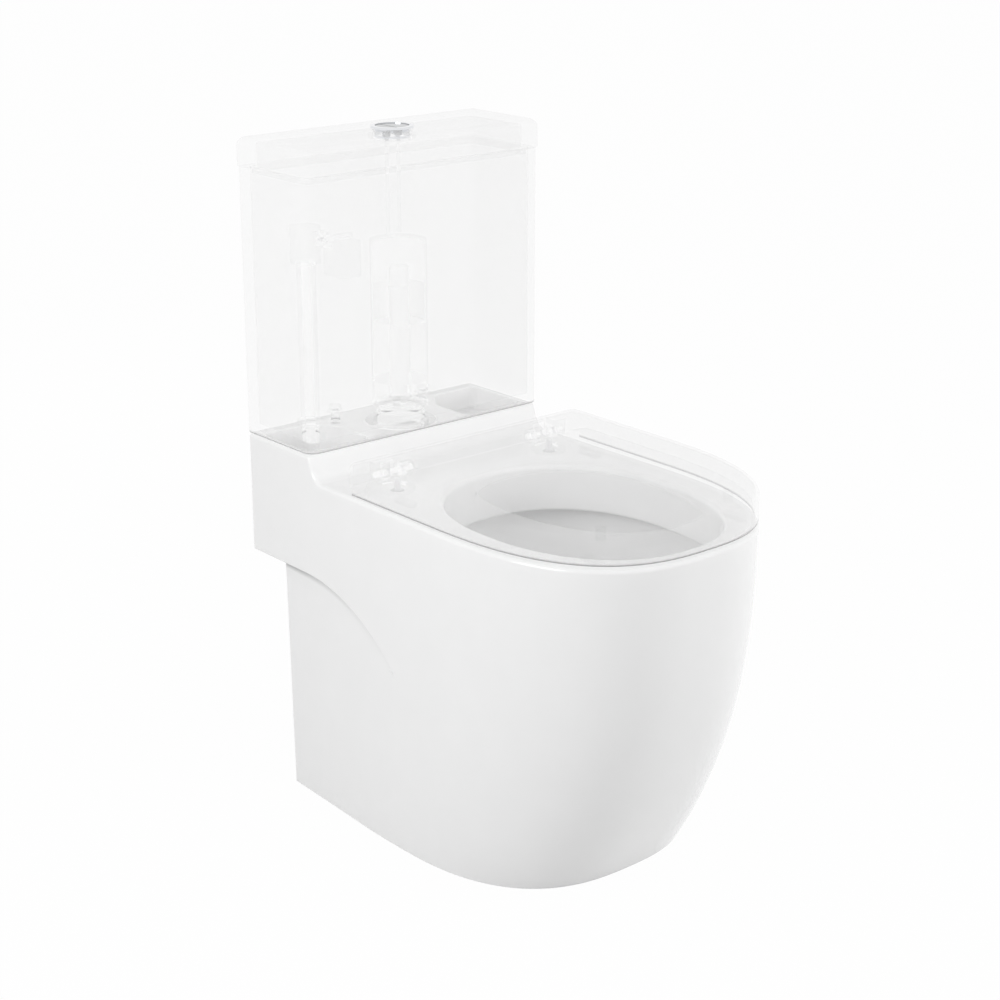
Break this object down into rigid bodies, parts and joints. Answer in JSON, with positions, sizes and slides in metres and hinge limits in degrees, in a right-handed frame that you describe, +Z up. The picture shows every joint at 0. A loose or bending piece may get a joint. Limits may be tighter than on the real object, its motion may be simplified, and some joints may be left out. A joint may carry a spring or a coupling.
{
  "type": "comfort height toilet",
  "caption": "Close-coupled comfort height toilet: skirted back-to-wall pan, slim cistern with lift-off lid, dual flush button, hinged seat ring and wrap-over cover.",
  "frame": {"origin": "on the floor at the middle of the object's box, so the wall plane is at half the projection in +Y", "axes": "+Z up, +Y towards the wall behind the toilet, +X to the right of someone facing it"},
  "size_m": [0.375, 0.626, 0.8411],
  "materials": {
    "pan_glaze": "white glazed vitreous china",
    "cistern_glaze": "white glazed vitreous china",
    "seat_plastic": "white moulded seat, gloss",
    "valve_plastic": "pale moulded valve plastic",
    "float_plastic": "pale grey moulded plastic",
    "hinge_plastic": "white moulded plastic",
    "button_chrome": "polished",
    "fixing_steel": "satin stainless steel",
    "seal_rubber": "dark moulded rubber",
    "buffer_rubber": "pale soft buffers"
  },
  "bodies": {
    "pan_and_cistern": {"pan_platform": "pan_glaze", "pan_pockets": "pan_glaze", "pan_block": "pan_glaze", "pan_duct": "pan_glaze", "pan_deck": "pan_glaze", "pan_rim": "pan_glaze", "pan_rim_wall": "pan_glaze", "pan_skirt_right": "pan_glaze", "pan_skirt_left": "pan_glaze", "pan_nose": "pan_glaze", "pan_lugs": "pan_glaze", "pan_bowl": "pan_glaze", "pan_sump": "pan_glaze", "pan_trapway": "pan_glaze", "pan_outlet": "pan_glaze", "pan_spigot": "pan_glaze", "coupling_gasket": "seal_rubber", "cistern_cushions": "seal_rubber", "cistern_tank": "cistern_glaze", "cistern_bolts": "fixing_steel", "bolt_cone_washers": "seal_rubber", "bolt_washers": "seal_rubber", "wing_nuts": "hinge_plastic", "flush_valve_base": "valve_plastic", "flush_valve_washer": "seal_rubber", "flush_valve_nut": "valve_plastic", "flush_valve_cage": "valve_plastic", "fill_valve_riser": "valve_plastic", "fill_valve_washer": "seal_rubber", "fill_valve_nut": "hinge_plastic", "fill_valve_head": "valve_plastic", "float_pin": "fixing_steel", "hinge_posts": "button_chrome", "hinge_pins": "fixing_steel", "hinge_studs": "fixing_steel", "hinge_bushes": "seal_rubber", "hinge_washers": "hinge_plastic", "hinge_nuts": "hinge_plastic"},
    "seat": {"seat_ring": "seat_plastic", "seat_buffers": "buffer_rubber", "hinge_dampers": "hinge_plastic"},
    "cover": {"seat_cover": "seat_plastic", "cover_buffers": "buffer_rubber"},
    "lid": {"cistern_lid": "cistern_glaze", "button_bezel": "button_chrome", "bezel_nut": "hinge_plastic"},
    "full_button": {"button_full": "button_chrome", "full_rod": "valve_plastic", "full_spring": "fixing_steel"},
    "half_button": {"button_half": "button_chrome", "half_rod": "valve_plastic", "half_spring": "fixing_steel"},
    "valve": {"valve_core": "valve_plastic", "valve_seal": "seal_rubber"},
    "half_valve": {"half_flush_float": "float_plastic"},
    "fill_float": {"float_arm": "valve_plastic", "float_cup": "float_plastic"}
  },
  "joints": [
    {"name": "seat_hinge", "type": "hinge", "parent": "pan_and_cistern", "child": "seat", "pos_m": [0, 0.096, 0.456], "axis": [1, 0, 0], "range_deg": [-95, 0]},
    {"name": "cover_hinge", "type": "hinge", "parent": "seat", "child": "cover", "pos_m": [0, 0.096, 0.456], "axis": [-1, 0, 0], "range_deg": [0, 96]},
    {"name": "lid_lift", "type": "slide", "parent": "pan_and_cistern", "child": "lid", "axis": [0, 0, 1], "range_m": [0, 0.12]},
    {"name": "full_press", "type": "slide", "parent": "lid", "child": "full_button", "axis": [0, 0, -1], "range_m": [0, 0.005], "stiffness_N_per_m": 400, "springref_m": -0.004, "deforming": ["full_spring"]},
    {"name": "half_press", "type": "slide", "parent": "lid", "child": "half_button", "axis": [0, 0, -1], "range_m": [0, 0.005], "stiffness_N_per_m": 400, "springref_m": -0.004, "deforming": ["half_spring"]},
    {"name": "core_lift", "type": "slide", "parent": "pan_and_cistern", "child": "valve", "axis": [0, 0, 1], "range_m": [0, 0.02]},
    {"name": "half_lift", "type": "slide", "parent": "pan_and_cistern", "child": "half_valve", "axis": [0, 0, 1], "range_m": [0, 0.02]},
    {"name": "float_swing", "type": "hinge", "parent": "pan_and_cistern", "child": "fill_float", "pos_m": [-0.104, 0.253, 0.711], "axis": [0, -1, 0], "range_deg": [0, 15]}
  ],
  "couplings": [
    {"joint": "core_lift", "follows": "full_press", "ratio": 4},
    {"joint": "half_lift", "follows": "half_press", "ratio": 4}
  ]
}
